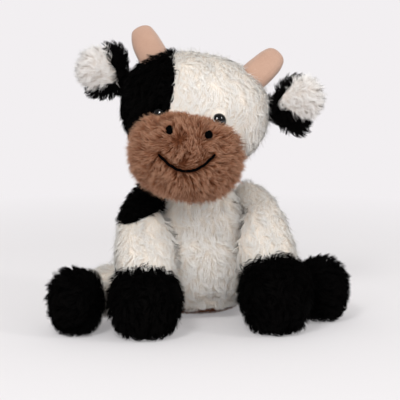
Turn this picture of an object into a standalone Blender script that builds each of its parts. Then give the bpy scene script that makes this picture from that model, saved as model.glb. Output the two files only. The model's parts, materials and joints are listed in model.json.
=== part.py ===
# Plush cow that sits on a round base, its paws and feet out in front.
# Every soft piece is a cover of plush, drawn at the mean height of its pile, over a stuffing core.
# Metres, +Z up. The cow faces -Y, its right side is at -X, and the origin is the seat's centre.
import math

import bmesh
import bpy
from mathutils import Matrix, Vector
from mathutils.bvhtree import BVHTree

# Clearances
SEAM_GAP = 0.0003
JOINT_GAP = 0.0008
LIMB_CLEARANCE = 0.0012
OVERRUN = 0.004
MERGE = 0.00001

# Plush
COVER_THICKNESS = 0.006
FLAT_DEPTH = 0.0005
CREASE_ANGLE = math.radians(40)

# Body
BODY_WIDTH = 0.108
BODY_DEPTH = 0.104
BODY_HEIGHT = 0.112
BODY_LEAN = 0.018
BODY_SWELL_SHARES = ((-1.0, 0.98), (-0.55, 1.04), (0.0, 0.98), (0.5, 0.82), (1.0, 0.70))
BODY_SQUARE = 2.9
BASE_HEIGHT = 0.008
NECK_DIAMETER = 0.058
NECK_RISE = 0.014
PELLET_BAG_CLEARANCE = 0.001
PELLET_BAG_HEIGHT = 0.024
BAG_SQUARE = 2.4

# Arms and paws
SHOULDER_DIAMETER = 0.046
SHOULDER_SHARES = (0.77, -0.35, 0.80)
ARM_WIDTH = 0.055
PAW_WIDTH = 0.060
PAW_DEPTH = 0.056
PAW_HEIGHTS = {"right": 0.055, "left": 0.061}
PAW_REACH = 0.066
PAW_SPREAD = 0.009
SLEEVE_SQUARE = 2.2
END_SQUARE = 2.3
ARM_SWELL_SHARES = ((-1.0, 0.94), (-0.3, 1.0), (0.45, 0.96), (1.0, 0.86))
SHOULDER_SEAM_DROP = 0.002
SHOULDER_SEAM_ANGLE = math.radians(20)

# Legs and feet
HIP_DIAMETER = 0.038
HIP_SHARES = (0.80, 0.24, 0.25)
LEG_WIDTH = 0.040
FOOT_WIDTH = 0.045
FOOT_DEPTH = 0.050
FOOT_HEIGHT = 0.052
FOOT_BESIDE_ANGLES = {"right": math.radians(20), "left": math.radians(39)}
LEG_SWELL_SHARES = ((-1.0, 0.9), (-0.2, 1.0), (0.5, 0.92), (1.0, 0.8))

# Head
HEAD_WIDTH = 0.122
HEAD_DEPTH = 0.104
HEAD_HEIGHT = 0.093
HEAD_SQUARE = 2.3
HEAD_SIT_SHARES = (-0.08, -0.72, 0.90)
HEAD_TURN = math.radians(-12)
HEAD_TILT = math.radians(10)
EYE_PATCH_EDGE_SHARES = (
    (-0.44, 1.30), (-0.40, 0.85), (-0.29, 0.62), (-0.27, 0.30), (-0.27, 0.05),
    (-0.33, -0.30), (-0.60, -0.70), (-1.30, -0.72), (-1.30, 1.30),
)
EYE_PATCH_BACK_SHARE = 0.25

# Muzzle
MUZZLE_WIDTH = 0.091
MUZZLE_DEPTH = 0.062
MUZZLE_HEIGHT = 0.070
MUZZLE_SQUARE = 2.4
MUZZLE_PLACE_SHARES = (0.01, -0.77, -0.64)
NOSTRIL_WIDTH = 0.0062
NOSTRIL_HEIGHT = 0.0074
NOSTRIL_THICKNESS = 0.0024
NOSTRIL_PLACE_SHARES = (0.32, 0.57)
NOSTRIL_SHIFT_SHARE = 0.04
NOSTRIL_TILT = math.radians(-3)
SMILE_WIDTH = 0.041
SMILE_DEPTH = 0.0125
SMILE_THREAD = 0.0018
SMILE_PLACE_SHARES = (0.045, 0.11)
SMILE_TILT = math.radians(-10)
SMILE_POINTS = 15

# Eyes: a glossy dome on a shank, held by a washer behind the cover
EYE_DIAMETER = 0.012
EYE_DOME_HEIGHT = 0.0052
EYE_ARC_STEPS = 6
EYE_PLACE_SHARES = (0.385, -0.038)
EYE_SHIFT_SHARE = -0.028
EYE_TILT = math.radians(-5.5)
EYE_SEAT_DEPTH = 0.0032
SHANK_DIAMETER = 0.0036
SHANK_LENGTH = 0.013
WASHER_DIAMETER = 0.013
WASHER_THICKNESS = 0.0016
WASHER_CLEARANCE = 0.0002

# Horns
HORN_WIDTH = 0.0228
HORN_LENGTH = 0.056
HORN_PLACE_SHARES = (0.67, 0.03, 0.71)
HORN_SPLAY = math.radians(34)
HORN_LEAN = math.radians(27)
HORN_SQUARE = 2.7
HORN_SWELL_SHARES = ((-1.0, 1.02), (0.0, 1.0), (0.6, 1.04), (1.0, 1.2))

# Ears
EAR_ROOT_DIAMETER = 0.022
EAR_ROOT_SHARES = (0.89, 0.05, 0.205)
EAR_LENGTH = 0.035
EAR_WIDTH = 0.048
EAR_THICKNESS = 0.026
EAR_LIFT = math.radians(17)
EAR_SWEEP = math.radians(15)
EAR_SWELL_SHARES = ((-1.0, 0.42), (-0.4, 0.8), (0.3, 1.08), (1.0, 1.2))
EAR_SQUARE = 2.5
EAR_CLEARANCE = 0.0036
LINING_LENGTH_SHARE = 1.08
LINING_WIDTH_SHARE = 0.66
LINING_THICKNESS_SHARE = 0.86
LINING_OUT_SHARE = 0.42
LINING_FRONT_SHARE = 0.30
LINING_SWELL_SHARES = ((-1.0, 0.25), (-0.45, 0.55), (0.25, 1.15), (1.0, 1.4))
LINING_RISES = {"right": 0.0, "left": 0.006}

# Tail
TAIL_ROOT_DIAMETER = 0.015
TAIL_WIDTH = 0.011
TAIL_LENGTH = 0.044
TAIL_SQUARE = 3.0
TAIL_ROOT_SHARES = (0.0, 0.90, 0.22)
TAIL_DROOP = math.radians(24)
TUFT_WIDTH = 0.019
TUFT_LENGTH = 0.030
TUFT_SWELL_SHARES = ((-1.0, 0.7), (0.0, 1.1), (1.0, 0.8))

COLOURS = {
    "cream_plush": (0.86, 0.80, 0.73, 0.95, 0.0),
    "black_plush": (0.010, 0.010, 0.011, 0.9, 0.0),
    "brown_plush": (0.19, 0.095, 0.055, 0.95, 0.0),
    "base_plush": (0.16, 0.09, 0.06, 0.95, 0.0),
    "white_plush": (0.80, 0.76, 0.72, 0.95, 0.0),
    "tan_velour": (0.64, 0.43, 0.33, 0.8, 0.0),
    "black_plastic": (0.004, 0.004, 0.005, 0.12, 0.0),
    "washer_plastic": (0.75, 0.75, 0.73, 0.4, 0.0),
    "black_thread": (0.008, 0.008, 0.009, 0.6, 0.0),
    "fibre": (0.90, 0.90, 0.88, 1.0, 0.0),
    "bag_cloth": (0.55, 0.53, 0.50, 0.9, 0.0),
}


def clear_scene():
    for thing in list(bpy.data.objects):
        bpy.data.objects.remove(thing, do_unlink=True)


def new_collection(name):
    collection = bpy.data.collections.new(name)
    bpy.context.scene.collection.children.link(collection)
    return collection


def make_material(name):
    red, green, blue, roughness, metallic = COLOURS[name]
    material = bpy.data.materials.new(name)
    material.use_nodes = True
    shader = material.node_tree.nodes["Principled BSDF"]
    shader.inputs["Base Color"].default_value = (red, green, blue, 1.0)
    shader.inputs["Roughness"].default_value = roughness
    shader.inputs["Metallic"].default_value = metallic
    return material


clear_scene()
parts = new_collection("plush_cow")
cutters = new_collection("cutters")
materials = {name: make_material(name) for name in COLOURS}


# Shapes

def share_at(shares, along):
    # Smooth reading of a table of (place, share) pairs
    for (low, first), (high, last) in zip(shares, shares[1:]):
        if along <= high:
            step = (along - low) / (high - low)
            step = step * step * (3 - 2 * step)
            return first + (last - first) * step
    return shares[-1][1]


def cutter(name, mesh):
    shape = bpy.data.objects.new(name, mesh)
    shape.hide_render = True
    shape.display_type = "WIRE"
    cutters.objects.link(shape)
    return shape


def form(name, size, place, swell=None, square=2.0, lean=0.0, detail=(24, 14)):
    # A ball drawn out to a size: square rounds it like a pillow, swell widens it along its own Z
    bm = bmesh.new()
    bmesh.ops.create_uvsphere(bm, u_segments=detail[0], v_segments=detail[1], radius=1)
    for vert in bm.verts:
        power = sum(abs(part) ** square for part in vert.co) ** (1 / square)
        point = vert.co / power
        width = share_at(swell, point.z) if swell else 1.0
        rise = (point.z + 1) / 2
        vert.co = (
            point.x * width * size[0] / 2,
            point.y * width * size[1] / 2 - lean * rise,
            point.z * size[2] / 2,
        )
    # Its quads are bent, so they are split here, the same way in a form and in what is cut by it
    bmesh.ops.triangulate(bm, faces=bm.faces)
    mesh = bpy.data.meshes.new(name)
    bm.to_mesh(mesh)
    bm.free()
    mesh.transform(place)
    return cutter(name, mesh)


def ball(name, diameter, place, pole="Z", detail=(16, 6)):
    # Its segments run round the pole, so it turns about that axis in a socket of the same facets
    turn = Matrix.Rotation(math.pi / 2, 4, "Y") if pole == "X" else Matrix.Identity(4)
    return form(name, (diameter, diameter, diameter), Matrix.Translation(place) @ turn,
                detail=detail)


def square_reach(square, angle):
    # How far a unit form reaches at an angle to its sides, which a pillow does more than a ball
    return (abs(math.cos(angle)) ** square + abs(math.sin(angle)) ** square) ** (-1 / square)


def box(name, low, high):
    mesh = bpy.data.meshes.new(name)
    bm = bmesh.new()
    bmesh.ops.create_cube(bm, size=1)
    middle = (Vector(low) + Vector(high)) / 2
    span = Vector(high) - Vector(low)
    bm.transform(Matrix.Translation(middle) @ Matrix.Diagonal((*span, 1)))
    bm.to_mesh(mesh)
    bm.free()
    return cutter(name, mesh)


def turned(name, profile, place, steps=16):
    # A profile of (radius, height) points turned about its own Z, run from the top down
    mesh = bpy.data.meshes.new(name)
    points = [(radius, 0, height) for radius, height in profile]
    closed = profile[0] == profile[-1]
    if closed:
        points.pop()
    count = len(points)
    edges = [(index, (index + 1) % count) for index in range(count if closed else count - 1)]
    mesh.from_pydata(points, edges, [])
    shape = cutter(name, mesh)
    screw = shape.modifiers.new("turn", "SCREW")
    screw.steps = steps
    screw.render_steps = steps
    screw.use_merge_vertices = True
    screw.merge_threshold = MERGE
    settled(shape)
    shape.data.transform(place)
    return shape


def settled(shape):
    # The shape with its modifiers made part of its mesh
    bpy.context.view_layer.update()
    seen = shape.evaluated_get(bpy.context.evaluated_depsgraph_get())
    mesh = bpy.data.meshes.new_from_object(seen)
    shape.modifiers.clear()
    shape.data = mesh
    return shape


def grown(shape, by):
    # The same shape with its skin moved out, or in where by is negative
    bigger = cutter(shape.name + ("_grown" if by > 0 else "_core"), shape.data.copy())
    displace = bigger.modifiers.new("grow", "DISPLACE")
    displace.strength = by
    displace.mid_level = 0
    return settled(bigger)


def bool_with(shape, tool, operation):
    # The exact solver leaves edges open in the head's cover, the eye patch and the stuffing of the
    # head and body, and this one closes them all
    modifier = shape.modifiers.new(operation.lower() + "_" + tool.name, "BOOLEAN")
    modifier.operation = operation
    modifier.solver = "MANIFOLD"
    modifier.object = tool
    return shape


def cut(shape, *tools):
    for tool in tools:
        bool_with(shape, tool, "DIFFERENCE")
    return shape


def joined(shape, *tools):
    for tool in tools:
        bool_with(shape, tool, "UNION")
    return shape


def kept_within(shape, *tools):
    for tool in tools:
        bool_with(shape, tool, "INTERSECT")
    return shape


def copy_of(shape, name):
    return cutter(name, shape.data.copy())


def meshed(name, curve):
    # A curve made a closed mesh, with its caps welded on
    holder = bpy.data.objects.new(name, curve)
    cutters.objects.link(holder)
    bpy.context.view_layer.update()
    seen = holder.evaluated_get(bpy.context.evaluated_depsgraph_get())
    mesh = bpy.data.meshes.new_from_object(seen)
    bpy.data.objects.remove(holder, do_unlink=True)
    bm = bmesh.new()
    bm.from_mesh(mesh)
    bmesh.ops.remove_doubles(bm, verts=bm.verts, dist=MERGE)
    bmesh.ops.recalc_face_normals(bm, faces=bm.faces)
    bm.to_mesh(mesh)
    bm.free()
    return cutter(name, mesh)


def thread(name, points, width):
    # A sewn line: a tube through the points, with filled ends
    curve = bpy.data.curves.new(name, "CURVE")
    curve.dimensions = "3D"
    curve.bevel_depth = width / 2
    curve.bevel_resolution = 1
    curve.use_fill_caps = True
    line = curve.splines.new("POLY")
    line.points.add(len(points) - 1)
    for point, place in zip(line.points, points):
        point.co = (*place, 1)
    return meshed(name, curve)


def pivot(name, place, parent=None):
    # An empty at a joint, on its axis
    empty = bpy.data.objects.new(name, None)
    parts.objects.link(empty)
    empty.location = place
    if parent:
        empty.parent = parent
        empty.location = place - parent.location
    bpy.context.view_layer.update()
    return empty


def piece(name, shape, material, carrier=None):
    # A finished sub-part: its mesh is stored about the joint that carries it
    settled(shape)
    mesh = shape.data
    mesh.name = name
    origin = carrier.matrix_world.translation if carrier else Vector()
    mesh.transform(Matrix.Translation(-origin))
    mesh.materials.clear()
    mesh.materials.append(materials[material])
    mesh.shade_smooth()
    mesh.set_sharp_from_angle(angle=CREASE_ANGLE)
    node = bpy.data.objects.new(name, mesh)
    parts.objects.link(node)
    node.parent = carrier
    bpy.data.objects.remove(shape, do_unlink=True)
    return node


# Places that more than one piece reads

body_middle = Vector((0, 0, BODY_HEIGHT / 2 - FLAT_DEPTH))
neck_place = Vector((0, -BODY_LEAN, BODY_HEIGHT - NECK_DIAMETER / 2 + NECK_RISE))
head_middle = Vector((
    HEAD_SIT_SHARES[0] * HEAD_WIDTH / 2,
    HEAD_SIT_SHARES[1] * HEAD_DEPTH / 2,
    BODY_HEIGHT + NECK_RISE + HEAD_SIT_SHARES[2] * HEAD_HEIGHT / 2,
))
head_frame = (
    Matrix.Translation(head_middle)
    @ Matrix.Rotation(HEAD_TURN, 4, "Z")
    @ Matrix.Rotation(HEAD_TILT, 4, "Y")
)


def body_spot(shares, side=1):
    across, back, up = shares
    return Vector((
        side * across * BODY_WIDTH / 2,
        back * BODY_DEPTH / 2,
        up * BODY_HEIGHT,
    ))


def head_spot(shares, side=1):
    across, back, up = shares
    return Vector((
        side * across * HEAD_WIDTH / 2,
        back * HEAD_DEPTH / 2,
        up * HEAD_HEIGHT / 2,
    ))


def tilted(across, up, angle):
    # A place on the face, turned about the face's middle
    return (
        across * math.cos(angle) + up * math.sin(angle),
        up * math.cos(angle) - across * math.sin(angle),
    )


def toward(start, end):
    # A frame at the middle of two points, its Z running from the second to the first
    axis = start - end
    turn = axis.to_track_quat("Z", "Y").to_matrix().to_4x4()
    return Matrix.Translation((start + end) / 2) @ turn


def within(size):
    # The room that a cover of this size leaves for its stuffing
    return [part - 2 * COVER_THICKNESS for part in size]


far = 2 * (BODY_WIDTH + HEAD_WIDTH)
floor = box("below_floor", (-far, -far, -far), (far, far, 0))

# Body and head forms

body_size = (BODY_WIDTH, BODY_DEPTH, BODY_HEIGHT)
body_place = Matrix.Translation(body_middle)
body_form = form("body_form", body_size, body_place, swell=BODY_SWELL_SHARES, square=BODY_SQUARE,
                 lean=BODY_LEAN, detail=(18, 12))
body_inside = form("body_inside", within(body_size), body_place, swell=BODY_SWELL_SHARES,
                   square=BODY_SQUARE, lean=BODY_LEAN, detail=(10, 6))
body_near = grown(body_form, SEAM_GAP)
limb_seat = grown(body_form, JOINT_GAP)
body_clear = grown(body_form, LIMB_CLEARANCE)
neck_form = ball("neck_form", NECK_DIAMETER, neck_place)
neck_inside = ball("neck_inside", NECK_DIAMETER - 2 * COVER_THICKNESS, neck_place,
                   detail=(10, 6))
neck_socket = grown(neck_form, JOINT_GAP)

head_size = (HEAD_WIDTH, HEAD_DEPTH, HEAD_HEIGHT)
head_form = form("head_form", head_size, head_frame, square=HEAD_SQUARE, detail=(18, 12))
head_inside = form("head_inside", within(head_size), head_frame, square=HEAD_SQUARE,
                   detail=(10, 6))
head_near = grown(head_form, SEAM_GAP)
muzzle_size = (MUZZLE_WIDTH, MUZZLE_DEPTH, MUZZLE_HEIGHT)
muzzle_frame = head_frame @ Matrix.Translation(head_spot(MUZZLE_PLACE_SHARES))
muzzle_form = form("muzzle_form", muzzle_size, muzzle_frame, square=MUZZLE_SQUARE,
                   detail=(16, 10))
muzzle_inside = form("muzzle_inside", within(muzzle_size), muzzle_frame, square=MUZZLE_SQUARE,
                     detail=(8, 6))
face_clear = (grown(head_form, LIMB_CLEARANCE), grown(muzzle_form, LIMB_CLEARANCE))


# Limbs: a sleeve from a ball-shaped root to a paw or foot, both covers over one core

class Limb:
    def __init__(self, label, root_place, root_diameter, pole, end_place, end_size, width, swell):
        self.carrier = pivot(label + "_pivot", root_place)
        sleeve_place = toward(root_place, end_place)
        sleeve_size = (width, width, (root_place - end_place).length + root_diameter)
        end_frame = Matrix.Translation(end_place)
        self.root = ball(label + "_root", root_diameter, root_place, pole)
        self.root_socket = grown(self.root, JOINT_GAP)
        self.sleeve = form(label + "_sleeve_form", sleeve_size, sleeve_place, swell=swell,
                           square=SLEEVE_SQUARE, detail=(14, 8))
        self.sleeve_inside = form(label + "_sleeve_inside", within(sleeve_size), sleeve_place,
                                  swell=swell, square=SLEEVE_SQUARE, detail=(8, 6))
        self.end = form(label + "_end_form", end_size, end_frame, square=END_SQUARE,
                        detail=(14, 8))
        self.end_inside = form(label + "_end_inside", within(end_size), end_frame,
                               square=END_SQUARE, detail=(8, 6))


def make_limb(limb, cover_name, end_name, stuffing_name, neighbours, split=None):
    # The body cuts the sleeve everywhere but in its root, which a socket in the body holds
    body_side = settled(cut(copy_of(limb_seat, "body_side"), limb.root))
    insides = (limb.sleeve_inside, limb.end_inside)
    sleeve = settled(cut(copy_of(limb.sleeve, "sleeve_whole"), body_side, grown(limb.end, SEAM_GAP),
                         floor, *insides, *neighbours))
    if split:
        patch_name, below, above = split
        piece(patch_name, cut(copy_of(sleeve, "patch_whole"), below), "black_plush", limb.carrier)
        cut(sleeve, above)
    piece(cover_name, sleeve, "cream_plush", limb.carrier)
    end = cut(copy_of(limb.end, "end_whole"), floor, *insides)
    piece(end_name, end, "black_plush", limb.carrier)
    core = joined(grown(limb.sleeve_inside, -SEAM_GAP), grown(limb.end_inside, -SEAM_GAP))
    piece(stuffing_name, cut(core, body_side, *neighbours), "fibre", limb.carrier)


SIDES = (("right", -1), ("left", 1))
arms = {}
legs = {}
for side_name, side in SIDES:
    shoulder = body_spot(SHOULDER_SHARES, side)
    paw_size = (PAW_WIDTH, PAW_DEPTH, PAW_HEIGHTS[side_name])
    paw_place = Vector((
        shoulder.x + side * PAW_SPREAD,
        shoulder.y - PAW_REACH,
        PAW_HEIGHTS[side_name] / 2 - FLAT_DEPTH,
    ))
    arms[side_name] = Limb(
        "shoulder_" + side_name, shoulder, SHOULDER_DIAMETER, "X", paw_place, paw_size,
        ARM_WIDTH, ARM_SWELL_SHARES)
    beside_angle = FOOT_BESIDE_ANGLES[side_name]
    beside = (PAW_WIDTH + FOOT_WIDTH) / 2 * square_reach(END_SQUARE, beside_angle)
    beside += LIMB_CLEARANCE
    foot_place = Vector((
        paw_place.x + side * beside * math.cos(beside_angle),
        paw_place.y + beside * math.sin(beside_angle),
        FOOT_HEIGHT / 2 - FLAT_DEPTH,
    ))
    legs[side_name] = Limb(
        "hip_" + side_name, body_spot(HIP_SHARES, side), HIP_DIAMETER, "Z", foot_place,
        (FOOT_WIDTH, FOOT_DEPTH, FOOT_HEIGHT), LEG_WIDTH, LEG_SWELL_SHARES)

# The right arm's top is a black panel: its seam slopes down to the outside
seam_place = body_spot(SHOULDER_SHARES, -1) - Vector((0, 0, SHOULDER_SEAM_DROP))
seam_frame = Matrix.Translation(seam_place) @ Matrix.Rotation(-SHOULDER_SEAM_ANGLE, 4, "Y")
below_seam = box("below_seam", (-far, -far, -far), (far, far, SEAM_GAP / 2))
below_seam.data.transform(seam_frame)
above_seam = box("above_seam", (-far, -far, -SEAM_GAP / 2), (far, far, far))
above_seam.data.transform(seam_frame)
shoulder_splits = {"right": ("shoulder_patch", below_seam, above_seam), "left": None}

for side_name, side in SIDES:
    arm = arms[side_name]
    make_limb(arm, "arm_" + side_name, "paw_" + side_name, "arm_stuffing_" + side_name,
              face_clear, shoulder_splits[side_name])
    arm_clear = (grown(arm.sleeve, LIMB_CLEARANCE), grown(arm.end, LIMB_CLEARANCE))
    make_limb(legs[side_name], "leg_" + side_name, "foot_" + side_name,
              "leg_stuffing_" + side_name, arm_clear)

# Tail: a cord of plush with a black tuft, in a socket low on the back

tail_root = body_spot(TAIL_ROOT_SHARES)
tail_pivot = pivot("tail_pivot", tail_root)
tail_way = Vector((0, math.cos(TAIL_DROOP), -math.sin(TAIL_DROOP)))
tail_frame = toward(tail_root, tail_root + tail_way * TAIL_LENGTH)
tail_ball = ball("tail_ball", TAIL_ROOT_DIAMETER, tail_root, detail=(12, 8))
tail_socket = grown(tail_ball, JOINT_GAP)
tail_form = form("tail_form", (TAIL_WIDTH, TAIL_WIDTH, TAIL_LENGTH + TAIL_WIDTH), tail_frame,
                 square=TAIL_SQUARE, detail=(10, 8))
tuft_form = form("tuft_form", (TUFT_WIDTH, TUFT_WIDTH, TUFT_LENGTH),
                 tail_frame @ Matrix.Translation((0, 0, -TAIL_LENGTH / 2)),
                 swell=TUFT_SWELL_SHARES, detail=(12, 8))
cut(tail_form, body_near)
cut(joined(tail_form, tail_ball), grown(tuft_form, SEAM_GAP), floor)
piece("tail", tail_form, "cream_plush", tail_pivot)
piece("tail_tuft", cut(tuft_form, floor), "black_plush", tail_pivot)

# Body pieces

limbs = [*arms.values(), *legs.values()]
sockets = [limb.root_socket for limb in limbs] + [tail_socket]
base_slab = box("base_slab", (-far, -far, -far), (far, far, BASE_HEIGHT))
above_base = box("above_base", (-far, -far, BASE_HEIGHT + SEAM_GAP), (far, far, far))
cover = settled(cut(joined(copy_of(body_form, "cover_whole"), neck_form), body_inside, neck_inside,
                    *sockets, floor))
piece("body_cover", kept_within(copy_of(cover, "cover_top"), above_base), "cream_plush")
piece("base_panel", kept_within(cover, base_slab), "base_plush")

# The pellet bag lies on the base, between the hips
body_core = grown(body_inside, -SEAM_GAP)
hip_reach = HIP_DIAMETER / 2 + JOINT_GAP + PELLET_BAG_CLEARANCE
bag_width = 2 * (body_spot(HIP_SHARES).x - hip_reach)
bag_place = Vector((0, 0, COVER_THICKNESS + PELLET_BAG_CLEARANCE + PELLET_BAG_HEIGHT / 2))
bag_form = form("bag_form", (bag_width, bag_width, PELLET_BAG_HEIGHT),
                Matrix.Translation(bag_place), square=BAG_SQUARE, detail=(12, 8))
bag_room = grown(bag_form, SEAM_GAP)
bag_room_below = copy_of(bag_room, "bag_room_below")
bag_room_below.data.transform(Matrix.Translation((0, 0, -PELLET_BAG_HEIGHT / 2)))
piece("pellet_bag", kept_within(bag_form, body_core), "bag_cloth")
stuffing = joined(copy_of(body_core, "stuffing_whole"), grown(neck_inside, -SEAM_GAP))
piece("body_stuffing", cut(stuffing, bag_room, bag_room_below, *sockets), "fibre")

head_pivot = pivot("head_pivot", neck_place)


def surface_point(shape, across, up, frame):
    # Where a line from the front meets the shape, in the frame's own axes
    mesh = bmesh.new()
    mesh.from_mesh(shape.data)
    tree = BVHTree.FromBMesh(mesh)
    mesh.free()
    start = frame @ Vector((across, -2 * HEAD_DEPTH, up))
    spot, normal, _, _ = tree.ray_cast(start, frame.to_3x3() @ Vector((0, 1, 0)))
    return spot, normal


# Eyes: each sits in a pocket, and its washer in a recess in the cover's back

def eye_profile():
    # Dome over a flat back, with the shank behind it
    quarter = [step * math.pi / 2 / EYE_ARC_STEPS for step in range(EYE_ARC_STEPS + 1)]
    dome = [(EYE_DIAMETER / 2 * math.sin(turn), EYE_DOME_HEIGHT * math.cos(turn))
            for turn in quarter]
    shank = SHANK_DIAMETER / 2
    return dome + [(shank, 0), (shank, -SHANK_LENGTH), (0, -SHANK_LENGTH)]


def ring_profile(inner, outer, top, bottom):
    return [(inner, top), (outer, top), (outer, bottom), (inner, bottom), (inner, top)]


def disc_profile(outer, top, bottom):
    return [(0, top), (outer, top), (outer, bottom), (0, bottom)]


eye_rooms = []
washer_beds = []
washer_rooms = []
eye_room_radius = EYE_DIAMETER / 2 + SEAM_GAP
shank_room_radius = SHANK_DIAMETER / 2 + SEAM_GAP
washer_room_radius = WASHER_DIAMETER / 2 + SEAM_GAP
washer_front = EYE_SEAT_DEPTH - COVER_THICKNESS - SEAM_GAP
washer_back = washer_front - WASHER_THICKNESS
for side_name, side in SIDES:
    across, up = tilted(side * EYE_PLACE_SHARES[0] * HEAD_WIDTH / 2,
                        EYE_PLACE_SHARES[1] * HEAD_HEIGHT / 2, EYE_TILT)
    across += EYE_SHIFT_SHARE * HEAD_WIDTH / 2
    spot, normal = surface_point(head_form, across, up, head_frame)
    seat = Matrix.Translation(spot - normal * EYE_SEAT_DEPTH)
    eye_frame = seat @ normal.to_track_quat("Z", "Y").to_matrix().to_4x4()
    eye_rooms.append(turned("eye_room_" + side_name, [
        (0, EYE_DIAMETER), (eye_room_radius, EYE_DIAMETER), (eye_room_radius, -SEAM_GAP),
        (shank_room_radius, -SEAM_GAP), (shank_room_radius, -SHANK_LENGTH - SEAM_GAP),
        (0, -SHANK_LENGTH - SEAM_GAP),
    ], eye_frame))
    washer_beds.append(turned(
        "washer_bed_" + side_name,
        disc_profile(washer_room_radius, washer_front + SEAM_GAP, washer_front - OVERRUN),
        eye_frame))
    washer_rooms.append(turned(
        "washer_room_" + side_name,
        disc_profile(washer_room_radius, washer_front + OVERRUN, washer_back - SEAM_GAP),
        eye_frame))
    eye = turned("eye_whole", eye_profile(), eye_frame)
    piece("eye_" + side_name, eye, "black_plastic", head_pivot)
    washer = turned(
        "washer_whole",
        ring_profile(SHANK_DIAMETER / 2 + WASHER_CLEARANCE, WASHER_DIAMETER / 2, washer_front,
                     washer_back),
        eye_frame)
    piece("eye_washer_" + side_name, washer, "washer_plastic", head_pivot)

# Horns

horn_near = {}
for side_name, side in SIDES:
    horn_frame = (
        head_frame @ Matrix.Translation(head_spot(HORN_PLACE_SHARES, side))
        @ Matrix.Rotation(side * HORN_SPLAY, 4, "Y") @ Matrix.Rotation(-HORN_LEAN, 4, "X")
    )
    horn = form("horn_form_" + side_name, (HORN_WIDTH, HORN_WIDTH, HORN_LENGTH), horn_frame,
                swell=HORN_SWELL_SHARES, square=HORN_SQUARE, detail=(16, 10))
    horn_near[side_name] = grown(horn, SEAM_GAP)
    piece("horn_" + side_name, cut(horn, head_near), "tan_velour", head_pivot)

# Ears: a black back whose edges come forward round a white lining

ear_sockets = []
ear_room = grown(head_form, EAR_CLEARANCE)
for side_name, side in SIDES:
    root = head_frame @ head_spot(EAR_ROOT_SHARES, side)
    ear_frame = (
        head_frame @ Matrix.Translation(head_spot(EAR_ROOT_SHARES, side))
        @ Matrix.Rotation(side * EAR_SWEEP, 4, "Z")
        @ Matrix.Rotation(side * (math.pi / 2 - EAR_LIFT), 4, "Y")
    )
    ear_pivot = pivot("ear_pivot_" + side_name, root, head_pivot)
    root_ball = ball("ear_root_" + side_name, EAR_ROOT_DIAMETER, root, detail=(12, 8))
    ear_sockets.append(grown(root_ball, JOINT_GAP))
    back = form(
        "ear_back_form_" + side_name, (EAR_WIDTH, EAR_THICKNESS, EAR_LENGTH),
        ear_frame @ Matrix.Translation((0, 0, EAR_LENGTH / 2)),
        swell=EAR_SWELL_SHARES, square=EAR_SQUARE, detail=(14, 8))
    lining_middle = (
        -side * LINING_RISES[side_name],
        -EAR_THICKNESS * LINING_FRONT_SHARE,
        EAR_LENGTH * (1 + LINING_OUT_SHARE) / 2,
    )
    lining = form(
        "ear_lining_form_" + side_name,
        (EAR_WIDTH * LINING_WIDTH_SHARE, EAR_THICKNESS * LINING_THICKNESS_SHARE,
         EAR_LENGTH * LINING_LENGTH_SHARE),
        ear_frame @ Matrix.Translation(lining_middle), swell=LINING_SWELL_SHARES, detail=(14, 8))
    # The head clears the ear for its bend, all but the ball at its root that a socket holds
    settled(cut(lining, ear_room, grown(root_ball, SEAM_GAP)))
    cut(back, ear_room)
    cut(joined(back, root_ball), grown(lining, SEAM_GAP), horn_near[side_name])
    piece("ear_back_" + side_name, back, "black_plush", ear_pivot)
    piece("ear_lining_" + side_name, lining, "white_plush", ear_pivot)

# Head cover and its black panel

patch_outline = bpy.data.curves.new("patch_outline", "CURVE")
patch_outline.dimensions = "2D"
patch_outline.fill_mode = "BOTH"
patch_outline.extrude = HEAD_DEPTH * (1 + EYE_PATCH_BACK_SHARE) / 2
spline = patch_outline.splines.new("POLY")
spline.points.add(len(EYE_PATCH_EDGE_SHARES) - 1)
for point, (across, up) in zip(spline.points, EYE_PATCH_EDGE_SHARES):
    point.co = (across * HEAD_WIDTH / 2, up * HEAD_HEIGHT / 2, 0, 1)
spline.use_cyclic_u = True
patch_prism = meshed("patch_prism", patch_outline)
# The outline stands upright, its back end a share of the head's depth behind the middle
patch_prism.data.transform(
    head_frame
    @ Matrix.Translation((0, -HEAD_DEPTH * (1 - EYE_PATCH_BACK_SHARE) / 2, 0))
    @ Matrix.Rotation(math.pi / 2, 4, "X")
)

skull = settled(cut(copy_of(head_form, "skull_whole"), head_inside, neck_socket, body_clear,
                    muzzle_inside, *eye_rooms, *washer_beds, *ear_sockets))
piece("eye_patch", kept_within(copy_of(skull, "eye_patch_whole"), patch_prism), "black_plush", head_pivot)
piece("head_cover", cut(skull, grown(patch_prism, SEAM_GAP)), "cream_plush", head_pivot)
head_core = joined(grown(head_inside, -SEAM_GAP), grown(muzzle_inside, -SEAM_GAP))
cut(head_core, neck_socket, body_clear, *eye_rooms, *washer_rooms, *ear_sockets)
piece("head_stuffing", head_core, "fibre", head_pivot)

# Muzzle, with its embroidery let into the pile

embroidery_rooms = []
for side_name, side in SIDES:
    across, up = tilted(side * NOSTRIL_PLACE_SHARES[0] * MUZZLE_WIDTH / 2,
                        NOSTRIL_PLACE_SHARES[1] * MUZZLE_HEIGHT / 2, NOSTRIL_TILT)
    across += NOSTRIL_SHIFT_SHARE * MUZZLE_WIDTH / 2
    spot, normal = surface_point(muzzle_form, across, up, muzzle_frame)
    facing = (-normal).to_track_quat("Y", "Z").to_matrix().to_4x4()
    nostril = form("nostril_form_" + side_name,
                   (NOSTRIL_WIDTH, NOSTRIL_THICKNESS, NOSTRIL_HEIGHT),
                   Matrix.Translation(spot) @ facing, detail=(10, 6))
    embroidery_rooms.append(grown(nostril, SEAM_GAP))
    piece("nostril_" + side_name, nostril, "black_thread", head_pivot)

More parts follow.
